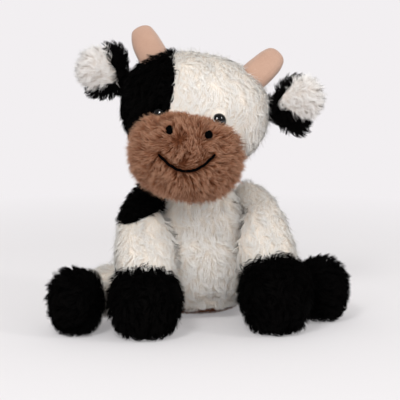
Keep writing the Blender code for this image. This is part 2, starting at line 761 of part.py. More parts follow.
smile_points = []
for step in range(SMILE_POINTS):
    along = 2 * step / (SMILE_POINTS - 1) - 1
    across, up = tilted(along * SMILE_WIDTH / 2, -SMILE_DEPTH * (1 - along * along), SMILE_TILT)
    spot, _ = surface_point(
        muzzle_form, across + SMILE_PLACE_SHARES[0] * MUZZLE_WIDTH / 2,
        up + SMILE_PLACE_SHARES[1] * MUZZLE_HEIGHT / 2, muzzle_frame)
    smile_points.append(spot)
smile = thread("smile_form", smile_points, SMILE_THREAD)
embroidery_rooms.append(thread("smile_room", smile_points, SMILE_THREAD + 2 * SEAM_GAP))
piece("smile", smile, "black_thread", head_pivot)

muzzle = cut(copy_of(muzzle_form, "muzzle_whole"), head_near, body_clear, muzzle_inside, *eye_rooms,
             *embroidery_rooms)
piece("muzzle", muzzle, "brown_plush", head_pivot)
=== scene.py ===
import json
import math

import bpy
import numpy as np
from mathutils import Matrix, Vector
from mathutils.bvhtree import BVHTree
from mathutils.kdtree import KDTree


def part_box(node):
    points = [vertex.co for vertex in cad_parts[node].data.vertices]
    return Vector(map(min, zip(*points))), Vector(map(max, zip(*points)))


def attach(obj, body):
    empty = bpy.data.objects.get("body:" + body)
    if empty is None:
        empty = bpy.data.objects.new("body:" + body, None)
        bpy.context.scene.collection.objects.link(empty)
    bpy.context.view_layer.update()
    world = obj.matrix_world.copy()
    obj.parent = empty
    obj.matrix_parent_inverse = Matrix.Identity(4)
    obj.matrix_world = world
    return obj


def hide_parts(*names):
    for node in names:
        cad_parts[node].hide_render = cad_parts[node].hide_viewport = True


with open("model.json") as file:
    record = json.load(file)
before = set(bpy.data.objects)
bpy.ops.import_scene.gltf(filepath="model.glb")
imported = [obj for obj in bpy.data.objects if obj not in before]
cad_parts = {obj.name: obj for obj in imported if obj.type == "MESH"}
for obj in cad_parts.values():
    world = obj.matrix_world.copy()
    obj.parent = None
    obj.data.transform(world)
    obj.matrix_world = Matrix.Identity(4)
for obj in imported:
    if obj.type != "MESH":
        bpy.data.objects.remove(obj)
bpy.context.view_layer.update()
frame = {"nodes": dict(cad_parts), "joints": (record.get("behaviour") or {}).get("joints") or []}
nodes = frame["nodes"]
scene = bpy.context.scene
print("frame loaded:", len(nodes), "nodes")

# Camera: a long lens, a little above the toy and a little to its right
view = {
    "target": (0.001, -0.0178, 0.093),
    "distance": 1.2,
    "azimuth": 8.0,  # degrees round the toy
    "elevation": 9.5,
    "lens": 134.9,  # mm
    "sensor": 36.0,
}


def placeCamera(values):
    turn = math.radians(values["azimuth"])
    rise = math.radians(values["elevation"])
    away = Vector((-math.sin(turn) * math.cos(rise), -math.cos(turn) * math.cos(rise), math.sin(rise)))
    bpy.ops.object.camera_add(location=Vector(values["target"]) + away * values["distance"])
    camera = bpy.context.object
    camera.rotation_euler = away.to_track_quat("Z", "Y").to_euler()
    camera.data.lens = values["lens"]
    camera.data.sensor_width = values["sensor"]
    scene.camera = camera


placeCamera(view)
print("camera placed")


# Shader tools: a socket that Python's operators can work with, and the material it belongs to
class Wire:
    def __init__(self, finish, socket):
        self.finish = finish
        self.socket = socket

    def worked(self, operation, first, second):
        return self.finish.node("ShaderNodeMath", {"operation": operation}, {0: first, 1: second})

    def __add__(self, other):
        return self.worked("ADD", self, other)

    def __radd__(self, other):
        return self.worked("ADD", other, self)

    def __mul__(self, other):
        return self.worked("MULTIPLY", self, other)

    def __rmul__(self, other):
        return self.worked("MULTIPLY", other, self)


class Finish:
    def __init__(self, name):
        self.material = bpy.data.materials.new(name)
        self.material.use_nodes = True
        self.tree = self.material.node_tree
        self.tree.nodes.clear()

    def node(self, kind, settings, values, out=0):
        made = self.tree.nodes.new(kind)
        for name, value in settings.items():
            if name != "stops":
                setattr(made, name, value)
                continue
            stops = made.color_ramp.elements
            for index, (place, colour) in enumerate(value):
                stop = stops[index] if index < len(stops) else stops.new(place)
                stop.position = place
                stop.color = (*colour, 1.0)
        for name, value in values.items():
            socket = made.inputs[name]
            if isinstance(value, Wire):
                self.tree.links.new(value.socket, socket)
            elif socket.type == "RGBA":
                socket.default_value = (*value, 1.0)
            else:
                socket.default_value = value
        return Wire(self, made.outputs[out]) if made.outputs else None

    def spot(self):
        return self.node("ShaderNodeTexCoord", {}, {}, "Object")

    def along(self, axis, wire):
        return self.node("ShaderNodeSeparateXYZ", {}, {"Vector": wire}, axis)

    def noise(self, scale, detail=2.0):
        values = {"Vector": self.spot(), "Scale": scale, "Detail": detail}
        return self.node("ShaderNodeTexNoise", {}, values, "Fac")

    def ramp(self, wire, *stops):
        return self.node("ShaderNodeValToRGB", {"stops": stops}, {"Fac": wire}, "Color")

    def mix(self, share, first, second, way="MIX"):
        settings = {"data_type": "RGBA", "blend_type": way}
        return self.node("ShaderNodeMix", settings, {0: share, 6: first, 7: second}, 2)

    def bump(self, height, distance, strength=1.0):
        values = {"Height": height, "Distance": distance, "Strength": strength}
        return self.node("ShaderNodeBump", {}, values)

    def shown(self, shader):
        self.node("ShaderNodeOutputMaterial", {}, {"Surface": shader})
        return self.material

    def surface(self, values):
        return self.shown(self.node("ShaderNodeBsdfPrincipled", {}, values))


def seen(red, green, blue):
    # a colour as the eye sees it, 0 to 255, turned into the shader's light
    levels = [level / 255.0 for level in (red, green, blue)]
    return tuple(level / 12.92 if level <= 0.04045 else ((level + 0.055) / 1.055) ** 2.4
                 for level in levels)


# Stage: a pale floor that keeps the toy's shadow and fades into a pale backdrop
stage = {
    "floor": seen(232, 230, 231),
    "backdrop": seen(242, 239, 241),
    "shadowReach": (0.30, 0.60),  # the lit floor fades out between these distances
    "shadowLift": 0.28,
    "size": 60.0,
    "world": 0.74,
    "worldTint": (1.0, 0.99, 0.985),
    "mirrored": 0.2,  # how bright the surroundings look in a glossy surface
    "lamps": (  # place, size and power of each soft box, and whether a glossy surface mirrors it
        ((-0.55, -1.20, 1.30), 0.38, 9.5, True),
        ((1.15, -0.87, 1.20), 0.20, 4.0, True),
        ((0.15, -1.60, 0.45), 1.1, 4.5, False),
        ((-0.75, -1.20, 0.85), 0.22, 1.5, True),
    ),
}


def floorFinish(values):
    finish = Finish("paleFloor")
    far = finish.node("ShaderNodeVectorMath", {"operation": "LENGTH"}, {0: finish.spot()}, "Value")
    near, gone = values["shadowReach"]
    reach = {"Value": far, "From Min": near, "From Max": gone, "To Min": values["shadowLift"]}
    fade = finish.node("ShaderNodeMapRange", {}, reach)
    rays = [finish.node("ShaderNodeLightPath", {}, {}, name)
            for name in ("Is Camera Ray", "Is Glossy Ray", "Is Transmission Ray")]
    shown = rays[0] + rays[1] + rays[2]
    lit = finish.node("ShaderNodeBsdfDiffuse", {}, {"Color": values["floor"]})
    flat = finish.node("ShaderNodeEmission", {}, {"Color": values["backdrop"], "Strength": 1.0})
    return finish.shown(finish.node("ShaderNodeMixShader", {}, {0: fade * shown, 1: lit, 2: flat}))


def setStage(values):
    bpy.ops.mesh.primitive_plane_add(size=values["size"])
    floor = bpy.context.object
    floor.name = "floor"
    floor.data.materials.append(floorFinish(values))
    for place, size, power, mirrored in values["lamps"]:
        bpy.ops.object.light_add(type="AREA", location=place)
        lamp = bpy.context.object
        lamp.data.size = size
        lamp.data.energy = power
        lamp.visible_glossy = mirrored
        away = Vector(place) - Vector(view["target"])
        lamp.rotation_euler = away.to_track_quat("Z", "Y").to_euler()
    world = bpy.data.worlds.new("studio")
    world.use_nodes = True
    tree = world.node_tree
    background = tree.nodes["Background"]
    background.inputs["Color"].default_value = (*values["worldTint"], 1.0)
    rays = tree.nodes.new("ShaderNodeLightPath")
    glow = tree.nodes.new("ShaderNodeMapRange")
    glow.inputs["To Min"].default_value = values["world"]
    glow.inputs["To Max"].default_value = values["mirrored"]
    tree.links.new(rays.outputs["Is Glossy Ray"], glow.inputs["Value"])
    tree.links.new(glow.outputs["Result"], background.inputs["Strength"])
    scene.world = world


setStage(stage)
scene.view_settings.view_transform = "Standard"
print("stage and lamps set")

# Plush colours: each strand goes from root to tip, and dull is how much darker the darkest strands are. The
# darker roots are partly the plush's own colour and partly painted shade in the gaps between the strands,
# and the black's lighter tips are partly a painted sheen
piles = {
    "cream": {"root": seen(250, 236, 220), "middle": seen(254, 249, 241), "tip": seen(254, 253, 250),
              "dull": 0.97, "rough": 0.8, "sheen": 0.2, "gloss": 0.25},
    "white": {"root": seen(228, 217, 207), "middle": seen(248, 243, 238), "tip": seen(254, 252, 250),
              "dull": 0.95, "rough": 0.8, "sheen": 0.2, "gloss": 0.25},
    "black": {"root": seen(1, 1, 1), "middle": seen(5, 4, 4), "tip": seen(12, 10, 9),
              "dull": 0.4, "rough": 0.8, "sheen": 0.0, "gloss": 0.06},
    "brown": {"root": seen(56, 24, 9), "middle": seen(148, 90, 60), "tip": seen(236, 188, 156),
              "dull": 0.5, "rough": 0.8, "sheen": 0.03, "gloss": 0.12},
}
middlePlace = 0.55  # how far up a strand its middle colour is


def pileFinish(name, values):
    finish = Finish(name + "Pile")
    strand = finish.node("ShaderNodeUVMap", {"uv_map": "strand"}, {}, "UV")
    # a strand darkens towards its root, partly as painted shade between the strands
    length = finish.ramp(finish.along("Y", strand), (0.0, values["root"]),
                         (middlePlace, values["middle"]), (1.0, values["tip"]))
    dull = (values["dull"],) * 3
    tint = finish.ramp(finish.along("X", strand), (0.0, dull), (1.0, (1.0, 1.0, 1.0)))
    return finish.surface({
        "Base Color": finish.mix(1.0, length, tint, "MULTIPLY"),
        "Roughness": values["rough"],
        "Sheen Weight": values["sheen"],
        "Specular IOR Level": values["gloss"],
    })


# The knitted cloth that a pile grows from, coloured between its pile's root and middle colours, so partly
# with their painted shade
knitting = {"patchScale": 220.0, "knitScale": 900.0, "knitHeight": 0.0004, "rough": 0.95, "gloss": 0.05}


def backingFinish(name, colours, values):
    finish = Finish(name + "Backing")
    patches = finish.noise(values["patchScale"])
    loops = {"Vector": finish.spot(), "Scale": values["knitScale"]}
    knit = finish.node("ShaderNodeTexVoronoi", {}, loops, "Distance")
    return finish.surface({
        "Base Color": finish.mix(patches, colours["root"], colours["middle"]),
        "Specular IOR Level": values["gloss"],
        "Roughness": values["rough"],
        "Normal": finish.bump(knit, values["knitHeight"]),
    })


def velourFinish(values):
    finish = Finish("tanVelour")
    nap = finish.noise(values["napScale"], values["napDetail"])
    patches = finish.noise(values["patchScale"])
    colour = finish.mix(patches, values["deep"], values["light"])
    return finish.surface({
        "Base Color": finish.mix(nap * values["napDepth"], colour, values["shade"]),
        "Roughness": values["rough"],
        "Sheen Weight": values["sheen"],
        "Specular IOR Level": values["gloss"],
        "Normal": finish.bump(nap, values["napHeight"]),
    })


def plasticFinish(name, values):
    finish = Finish(name)
    wear = finish.noise(values["scratchScale"], values["scratchDetail"])
    return finish.surface({
        "Base Color": values["colour"],
        "Roughness": wear * values["wear"] + values["rough"],
        "Specular IOR Level": values["gloss"],
        "Normal": finish.bump(wear, values["scratchHeight"], values["scratchShare"]),
    })


def threadFinish(values):
    finish = Finish("blackThread")
    plies = {"Vector": finish.spot(), "Scale": values["twistScale"], "Distortion": values["twistBend"]}
    twist = finish.node("ShaderNodeTexWave", {"bands_direction": "DIAGONAL"}, plies, "Fac")
    return finish.surface({
        # the twist's raised crests are a lighter black, a painted sheen along the plies
        "Base Color": finish.mix(twist, values["colour"], values["crest"]),
        "Roughness": values["rough"],
        "Specular IOR Level": values["gloss"],
        "Normal": finish.bump(twist, values["twistHeight"]),
    })


def fibreFinish(values):
    finish = Finish("polyesterFibre")
    wisps = finish.noise(values["wispScale"], values["wispDetail"])
    return finish.surface({
        "Base Color": finish.mix(wisps, values["shade"], values["colour"]),
        "Roughness": values["rough"],
        "Normal": finish.bump(wisps, values["wispHeight"]),
    })


def bagFinish(values):
    finish = Finish("bagCloth")
    threads = {"Vector": finish.spot(), "Scale": values["weaveScale"]}
    weave = finish.node("ShaderNodeTexChecker", {}, threads, "Fac")
    grubby = finish.noise(values["patchScale"])
    return finish.surface({
        "Base Color": finish.mix(grubby, values["colour"], values["shade"]),
        "Roughness": values["rough"],
        "Normal": finish.bump(weave, values["weaveHeight"]),
    })


velour = velourFinish({
    "deep": seen(172, 135, 115), "light": seen(203, 169, 149), "shade": seen(150, 114, 95),
    "napScale": 900.0, "napDetail": 4.0, "napDepth": 0.3, "napHeight": 0.0003, "patchScale": 42.0,
    "rough": 0.9, "sheen": 0.35, "gloss": 0.1,
})
scratches = {"wear": 0.02, "scratchDetail": 3.0, "scratchHeight": 0.00002, "scratchShare": 0.1}
eyePlastic = plasticFinish("blackPlastic", {
    **scratches, "colour": seen(1, 1, 1), "rough": 0.02, "gloss": 1.0, "scratchScale": 300.0,
})
washerPlastic = plasticFinish("washerPlastic", {
    **scratches, "colour": seen(214, 212, 204), "rough": 0.35, "gloss": 0.5, "scratchScale": 200.0,
})
thread = threadFinish({
    "colour": seen(1, 1, 1), "crest": seen(7, 6, 6), "rough": 0.6, "gloss": 0.02,
    "twistScale": 700.0, "twistBend": 2.0, "twistHeight": 0.0001,
})
fibre = fibreFinish({
    "colour": seen(246, 245, 241), "shade": seen(214, 212, 206), "rough": 0.9,
    "wispScale": 400.0, "wispDetail": 6.0, "wispHeight": 0.0008,
})
bagCloth = bagFinish({
    "colour": seen(226, 220, 206), "shade": seen(205, 197, 180), "rough": 0.9,
    "weaveScale": 1600.0, "weaveHeight": 0.0002, "patchScale": 90.0,
})
pileFinishes = {name: pileFinish(name, values) for name, values in piles.items()}
backingFinishes = {name: backingFinish(name, colours, knitting) for name, colours in piles.items()}
print("plush finishes made")


# Modelling tools
mergeDistance = 0.00001  # points of a CAD solid that are closer are one


def alone(*pieces):
    bpy.ops.object.select_all(action="DESELECT")
    for piece in pieces:
        piece.select_set(True)
    bpy.context.view_layer.objects.active = pieces[0]


def finished(piece, kind, **settings):
    modifier = piece.modifiers.new(kind.title(), kind)
    for name, value in settings.items():
        setattr(modifier, name, value)
    alone(piece)
    bpy.ops.object.modifier_apply(modifier=modifier.name)


def points(piece):
    flat = np.empty(len(piece.data.vertices) * 3)
    piece.data.vertices.foreach_get("co", flat)
    return flat.reshape(-1, 3)


def pointNormals(piece):
    flat = np.empty(len(piece.data.vertices) * 3)
    piece.data.vertices.foreach_get("normal", flat)
    return flat.reshape(-1, 3)


def setPoints(piece, places):
    piece.data.vertices.foreach_set("co", places.ravel())
    piece.data.update()


def looseCopy(names, hull=False):
    copies = []
    for name in names:
        copy = bpy.data.objects.new(name + "Copy", nodes[name].data.copy())
        copy.data.materials.clear()
        scene.collection.objects.link(copy)
        copies.append(copy)
    alone(*copies)
    if len(copies) > 1:
        bpy.ops.object.join()
    bpy.ops.object.mode_set(mode="EDIT")
    bpy.ops.mesh.select_all(action="SELECT")
    bpy.ops.mesh.remove_doubles(threshold=mergeDistance)
    if hull:
        bpy.ops.mesh.convex_hull()
    bpy.ops.object.mode_set(mode="OBJECT")
    return bpy.context.object


def treeOf(piece):
    return BVHTree.FromPolygons([v.co for v in piece.data.vertices],
                                [p.vertices for p in piece.data.polygons])


nodeTrees = {}


def nearestNode(places, names):
    for name in names:
        if name not in nodeTrees:
            nodeTrees[name] = treeOf(nodes[name])
    away = [[nodeTrees[name].find_nearest(Vector(place))[3] for place in places] for name in names]
    return np.argmin(np.array(away), axis=0)


# Skins: the sewn covers under the fur, stuffed until they are taut
sewing = {
    "floorSkin": 0.0012,  # how far a seat or sole stays above the floor
    "floorBand": 0.012,
    "floorFacing": -0.3,  # what rests on the floor faces down more than this
    "frames": 16,
    "pressure": 4.0,
}


def shrunk(piece, depth):
    # the cover lies under its pile, but stays down where it rests on the floor
    before = points(piece)
    facing = pointNormals(piece)
    after = before - facing * depth
    resting = (before[:, 2] < sewing["floorBand"]) & (facing[:, 2] < sewing["floorFacing"])
    after[resting, 2] = np.maximum(before[resting, 2], sewing["floorSkin"])
    setPoints(piece, after)


def plump(piece, reach):
    before = points(piece)
    cloth = piece.modifiers.new("Cloth", "CLOTH")
    cloth.settings.use_pressure = True
    cloth.settings.uniform_pressure_force = sewing["pressure"]
    cloth.settings.effector_weights.gravity = 0.0
    cloth.point_cache.frame_start = 1
    cloth.point_cache.frame_end = sewing["frames"]
    for number in range(1, sewing["frames"] + 1):
        scene.frame_set(number)
    alone(piece)
    bpy.ops.object.modifier_apply(modifier=cloth.name)
    scene.frame_set(1)
    move = points(piece) - before
    size = np.linalg.norm(move, axis=1)[:, None]
    after = before + move * np.minimum(1.0, reach / np.maximum(size, 1e-9))
    after[:, 2] = np.maximum(after[:, 2], sewing["floorSkin"])
    setPoints(piece, after)


def closeHoles(piece):
    alone(piece)
    bpy.ops.object.mode_set(mode="EDIT")
    bpy.ops.mesh.select_all(action="SELECT")
    bpy.ops.mesh.fill_holes(sides=0)
    bpy.ops.mesh.select_all(action="SELECT")
    bpy.ops.mesh.normals_make_consistent(inside=False)
    bpy.ops.object.mode_set(mode="OBJECT")
    if roomInside(piece) < 0:
        bpy.ops.object.mode_set(mode="EDIT")
        bpy.ops.mesh.flip_normals()
        bpy.ops.object.mode_set(mode="OBJECT")


def roomInside(piece):
    # the volume that its faces close off, below zero where they point inwards
    piece.data.calc_loop_triangles()
    corners = points(piece)[[tuple(t.vertices) for t in piece.data.loop_triangles]]
    return (corners[:, 0] * np.cross(corners[:, 1], corners[:, 2])).sum() / 6


def splitByNode(piece, names):
    # cuts the skin where the sewn panels meet, and gives each panel its own piece
    centres = np.array([p.center for p in piece.data.polygons])
    owner = nearestNode(centres, names)
    ownerLayer = piece.data.attributes.new("owner", "INT", "FACE")
    ownerLayer.data.foreach_set("value", owner.astype(np.int32))
    panels = {}
    bpy.context.tool_settings.mesh_select_mode = (False, False, True)  # faces
    for index, name in enumerate(names[1:], 1):
        alone(piece)
        values = np.empty(len(piece.data.polygons), np.int32)
        piece.data.attributes["owner"].data.foreach_get("value", values)
        piece.data.polygons.foreach_set("select", values == index)
        bpy.ops.object.mode_set(mode="EDIT")
        bpy.ops.mesh.separate(type="SELECTED")
        bpy.ops.object.mode_set(mode="OBJECT")
        panels[name] = [one for one in bpy.context.selected_objects if one != piece][0]
    panels[names[0]] = piece
    for panel in panels.values():
        panel.data.attributes.remove(panel.data.attributes["owner"])
        closeHoles(panel)
        panel.data.shade_smooth()
    return panels


def skin(shapes, names, values, seam=None):
    # shapes are the groups of CAD solids that this cover is drawn over, each as it is or as its hull,
    # and seam is where it is sewn on, the way it is drawn in there, and how far
    forms = [looseCopy(group, hull) for group, hull in shapes]
    alone(*forms)
    if len(forms) > 1:
        bpy.ops.object.join()
    piece = bpy.context.object
    finished(piece, "REMESH", mode="VOXEL", voxel_size=values["voxel"])
    finished(piece, "SMOOTH", factor=0.5, iterations=values["smooth"])
    shrunk(piece, values["pile"] + values["swell"])
    plump(piece, values["swell"])
    finished(piece, "SUBSURF", levels=1, render_levels=1)
    if seam:
        gathered(piece, *seam)
    return splitByNode(piece, names)


def gathered(piece, root, way, seam):
    # draws the end of a cover in to the seam that it is sewn on by
    places = points(piece)
    away = np.linalg.norm(places - np.array(root), axis=1)[:, None]
    pull = np.array(way) * seam["pull"]
    setPoints(piece, places + pull * np.clip(1.0 - away / seam["reach"], 0.0, 1.0))


skins = {}
limbCover = {"voxel": 0.0036, "smooth": 4, "pile": 0.0026, "swell": 0.0016}
bodyCover = {"voxel": 0.0045, "smooth": 5, "pile": 0.0028, "swell": 0.0024}
headCover = {"voxel": 0.0042, "smooth": 5, "pile": 0.0030, "swell": 0.0016}
earCover = {"voxel": 0.0022, "smooth": 3, "pile": 0.0026, "swell": 0.0006}
tailCover = {"voxel": 0.0018, "smooth": 2, "pile": 0.0018, "swell": 0.0004}
neckSeam = {"place": (0.0, -0.018, 0.126), "reach": 0.036, "pull": 0.012}
earSeam = {"reach": 0.015, "pull": 0.009}
tailSeam = {"reach": 0.014, "pull": 0.007}

pivots = {joint["child"]: np.array(joint["pos_m"]) for joint in frame["joints"]}
headMiddle = sum(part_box("head_cover"), Vector()) / 2
skins["body"] = skin(
    [(["body_cover"], True), (["base_panel"], False)],
    ["body_cover", "base_panel"], bodyCover, (neckSeam["place"], (0.0, 0.0, 1.0), neckSeam))
skins["head"] = skin(
    [(["head_cover", "eye_patch"], True), (["muzzle"], True)],
    ["head_cover", "eye_patch", "muzzle"], headCover)
skins["right_arm"] = skin(
    [(["arm_right"], False), (["shoulder_patch"], False), (["arm_stuffing_right"], False),
     (["paw_right"], False)],
    ["arm_right", "shoulder_patch", "paw_right"], limbCover)
skins["left_arm"] = skin(
    [(["arm_left"], False), (["arm_stuffing_left"], False), (["paw_left"], False)],
    ["arm_left", "paw_left"], limbCover)
for side in ("right", "left"):
    skins[side + "_leg"] = skin(
        [(["leg_" + side], False), (["leg_stuffing_" + side], False), (["foot_" + side], False)],
        ["leg_" + side, "foot_" + side], limbCover)
    earRoot = pivots[side + "_ear"]
    inward = (headMiddle - Vector(earRoot)).normalized()
    skins[side + "_ear"] = skin(
        [(["ear_back_" + side], False), (["ear_lining_" + side], False)],
        ["ear_back_" + side, "ear_lining_" + side], earCover, (earRoot, inward, earSeam))
skins["tail"] = skin(
    [(["tail"], False), (["tail_tuft"], False)],
    ["tail", "tail_tuft"], tailCover, (pivots["tail"], (0.0, -1.0, 0.0), tailSeam))
print("covers sewn and stuffed")

# What each cover is made of, which picks its finishes
plush = {
    "body_cover": "cream", "base_panel": "brown", "head_cover": "cream", "eye_patch": "black",
    "muzzle": "brown", "arm_right": "cream", "arm_left": "cream", "shoulder_patch": "black",
    "paw_right": "black", "paw_left": "black", "leg_right": "cream", "leg_left": "cream",
    "foot_right": "black", "foot_left": "black", "ear_back_right": "black", "ear_back_left": "black",
    "ear_lining_right": "white", "ear_lining_left": "white", "tail": "cream", "tail_tuft": "black",
}


def camel(name, kind=""):
    first, *rest = (name + kind).split("_")
    return first + "".join(word.title() for word in rest)


for body, panels in skins.items():
    for name, piece in panels.items():
        piece.name = piece.data.name = camel(name.replace("_cover", ""), "_cover")
        piece.data.materials.clear()
        piece.data.materials.append(backingFinishes[plush[name]])
        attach(piece, body)
        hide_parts(name)
        "base_plush" if name == "base_panel" else plush[name] + "_plush"


# Horns: stuffed velour, rounded by smoothing, each with its foot sunk under the pile
hornShape = {"voxel": 0.0016, "smooth": 3, "sunk": 0.007, "sunkBand": 0.016}


def sewHorn(side, values):
    horn = looseCopy(["horn_" + side])
    horn.name = horn.data.name = "horn" + side.title()
    finished(horn, "REMESH", mode="VOXEL", voxel_size=values["voxel"])
    finished(horn, "SMOOTH", factor=0.5, iterations=values["smooth"])
    places = points(horn)
    lean = np.array((Vector(places.mean(0)) - headMiddle).normalized())
    height = places @ lean
    base = np.clip(1.0 - (height - height.min()) / values["sunkBand"], 0.0, 1.0)[:, None]
    setPoints(horn, places - lean * base * values["sunk"])  # its foot is sewn to the cover, under the pile
    horn.data.shade_smooth()
    horn.data.materials.append(velour)
    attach(horn, "head")
    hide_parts("horn_" + side)


for side in ("right", "left"):
    sewHorn(side, hornShape)
print("horns sewn")

# Eyes: glossy domes on a low collar
for side in ("right", "left"):
    eye = looseCopy(["eye_" + side])
    eye.name = eye.data.name = "eye" + side.title()
    finished(eye, "SUBSURF", levels=1, render_levels=1)
    eye.data.shade_smooth()
    eye.data.materials.append(eyePlastic)
    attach(eye, "head")
    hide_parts("eye_" + side)
    nodes["eye_washer_" + side].data.materials.clear()
    nodes["eye_washer_" + side].data.materials.append(washerPlastic)
print("eyes pressed in")

# Stuffing: loose fibre inside each cover, and the bag of pellets in the seat
filling = {"voxel": 0.0045, "smooth": 4, "slack": 0.0035, "lumps": 0.0009, "lumpSize": 0.012}
pelletFilling = {**filling, "voxel": 0.002, "slack": 0.0006, "lumps": 0.0005, "lumpSize": 0.004}
waves = {"count": 5, "spread": (0.7, 1.4), "turn": 6.28, "level": 2.5}


def ripple(places, size, draw):
    # a smooth random field over space, between about -1 and 1
    total = np.zeros(len(places))
    for _ in range(waves["count"]):
        way = draw.normal(size=3)
        way /= np.linalg.norm(way)
        length = size * draw.uniform(*waves["spread"])
        total += np.sin(places @ way * (2 * math.pi / length) + draw.uniform(0, waves["turn"]))
    return total / waves["level"]


def stuff(name, body, finish, values, seed):
    fill = looseCopy([name])
    fill.name = fill.data.name = camel(name)
    finished(fill, "REMESH", mode="VOXEL", voxel_size=values["voxel"])
    finished(fill, "SMOOTH", factor=0.5, iterations=values["smooth"])
    places, facing = points(fill), pointNormals(fill)
    lumps = ripple(places, values["lumpSize"], np.random.default_rng(seed)) * values["lumps"]
    setPoints(fill, places - facing * (values["slack"] + lumps)[:, None])
    fill.data.shade_smooth()
    fill.data.materials.append(finish)
    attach(fill, body)
    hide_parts(name)


stuffed = {
    "body_stuffing": "body", "head_stuffing": "head",
    "arm_stuffing_right": "right_arm", "arm_stuffing_left": "left_arm",
    "leg_stuffing_right": "right_leg", "leg_stuffing_left": "left_leg",
}
for number, (name, body) in enumerate(stuffed.items(), 1):
    stuff(name, body, fibre, filling, number)
stuff("pellet_bag", "body", bagCloth, pelletFilling, 7)
print("stuffed")

# Embroidery: rows of satin stitches over each nostril and along the smile
stitching = {
    "radius": 0.00036, "rise": 0.0009, "pitch": 0.00058, "steps": 5, "sides": 1, "merge": 0.000005,
    "arch": 4,  # the higher, the flatter a stitch's top
    "nostrilHalf": (0.0029, 0.0033),
    "smileHalf": 0.00085, "slant": 0.35,
    "smileParts": 22,  # the CAD line is followed in this many steps
    "endStitches": 6.0, "endShare": 0.45,  # the smile's ends are sewn with narrower stitches
}


def sewThreads(name, runs, values):
    # each run is one stitch's points, and all runs become one mesh
    curve = bpy.data.curves.new(name, "CURVE")
    curve.dimensions = "3D"
    curve.bevel_depth = values["radius"]
    curve.bevel_resolution = values["sides"]
    curve.use_fill_caps = True
    for run in runs:
        line = curve.splines.new("POLY")
        line.points.add(len(run) - 1)
        for point, place in zip(line.points, run):
            point.co = (*place, 1.0)
    piece = bpy.data.objects.new(name, curve)
    scene.collection.objects.link(piece)
    alone(piece)
    bpy.ops.object.convert(target="MESH")
    piece = bpy.context.object
    bpy.ops.object.mode_set(mode="EDIT")
    bpy.ops.mesh.select_all(action="SELECT")
    bpy.ops.mesh.remove_doubles(threshold=values["merge"])
    bpy.ops.mesh.normals_make_consistent(inside=False)
    bpy.ops.object.mode_set(mode="OBJECT")
    piece.data.shade_smooth()
    piece.data.materials.clear()
    piece.data.materials.append(thread)
    return piece


def stitchRun(middle, across, outward, half, values):
    run = []
    for step in range(values["steps"]):
        share = 2.0 * step / (values["steps"] - 1) - 1.0
        lift = values["rise"] * (1.0 - share ** values["arch"])
        run.append(middle + across * half * share + outward * lift)
    return run


def nostrilRuns(name, values):
    places = points(nodes[name])
    middle = places.mean(0)
    _, _, ways = np.linalg.svd(places - middle, full_matrices=False)
    outward = ways[2] * np.sign((middle - middleOf("muzzle")) @ ways[2])
    tall = ways[0] * np.sign(ways[0][2])
    across = np.cross(tall, outward)
    wide, high = values["nostrilHalf"]
    count = int(2 * high / values["pitch"])
    runs = []
    for number in range(count):
        level = 2.0 * (number + 0.5) / count - 1.0
        half = wide * math.sqrt(1.0 - level ** 2)
        runs.append(stitchRun(middle + tall * high * level, across, outward, half, values))
    return runs


def smileLine(values):
    places = points(nodes["smile"])
    order = np.argsort(places[:, 0])
    groups = np.array_split(places[order], values["smileParts"])
    line = np.array([group.mean(0) for group in groups])
    spans = np.concatenate([[0.0], np.cumsum(np.linalg.norm(np.diff(line, axis=0), axis=1))])
    marks = np.arange(0.0, spans[-1], values["pitch"])
    return np.stack([np.interp(marks, spans, line[:, axis]) for axis in range(3)], 1)


def smileRuns(line, values):
    runs = []
    for number, middle in enumerate(line):
        ahead = line[min(number + 1, len(line) - 1)] - line[max(number - 1, 0)]
        ahead /= np.linalg.norm(ahead)
        outward = middle - middleOf("muzzle")
        outward -= ahead * (outward @ ahead)
        outward /= np.linalg.norm(outward)
        across = np.cross(outward, ahead) + ahead * values["slant"]
        ending = min(number, len(line) - 1 - number) / values["endStitches"]
        half = values["smileHalf"] * min(1.0, values["endShare"] + ending)
        runs.append(stitchRun(middle, across, outward, half, values))
    return runs


def middleOf(name):
    low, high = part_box(name)
    return np.array((low + high) / 2)


smileMiddle = smileLine(stitching)
embroidery = {"nostril_right": nostrilRuns("nostril_right", stitching),
              "nostril_left": nostrilRuns("nostril_left", stitching),
              "smile": smileRuns(smileMiddle, stitching)}
for name, runs in embroidery.items():
    piece = sewThreads(camel(name, "_stitches"), runs, stitching)
    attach(piece, "head")
    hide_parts(name)
print("face embroidered")


# Fur: one hair is modelled, and its copies are bent, combed and tufted over the covers
hairForm = {
    "bendAt": 0.55,
    "full": (0.1, 0.9), "fullness": 1.9,  # a hair keeps its width until near its tip
    "lowest": 0.0004,  # no hair goes nearer the floor
    "nudge": 0.01,  # keeps a hair that stands straight up from losing its side
    "uvFill": 0.94, "uvMargin": 0.03, "uvFacet": 0.012,
}
squareCentimetres = 10000  # in a square metre


def modelHair(values):
    bpy.ops.object.select_all(action="DESELECT")
    bpy.ops.mesh.primitive_cone_add(vertices=3, radius1=1.0, radius2=0.0, depth=1.0,
                                    end_fill_type="NGON", location=(0.0, 0.0, 0.5))
    hair = bpy.context.object
    bpy.ops.object.transform_apply(location=True, rotation=False, scale=False)
    bpy.ops.object.mode_set(mode="EDIT")
    bpy.ops.mesh.select_all(action="SELECT")
    bpy.ops.mesh.bisect(plane_co=(0.0, 0.0, values["bendAt"]), plane_no=(0.0, 0.0, 1.0))
    bpy.ops.object.mode_set(mode="OBJECT")
    shape = points(hair)
    low, high = values["full"]
    middle = (shape[:, 2] > low) & (shape[:, 2] < high)
    shape[middle, :2] *= values["fullness"]
    faces = [list(p.vertices) for p in hair.data.polygons]
    bpy.data.objects.remove(hair)
    return shape, faces


hairShape, hairFaces = modelHair(hairForm)


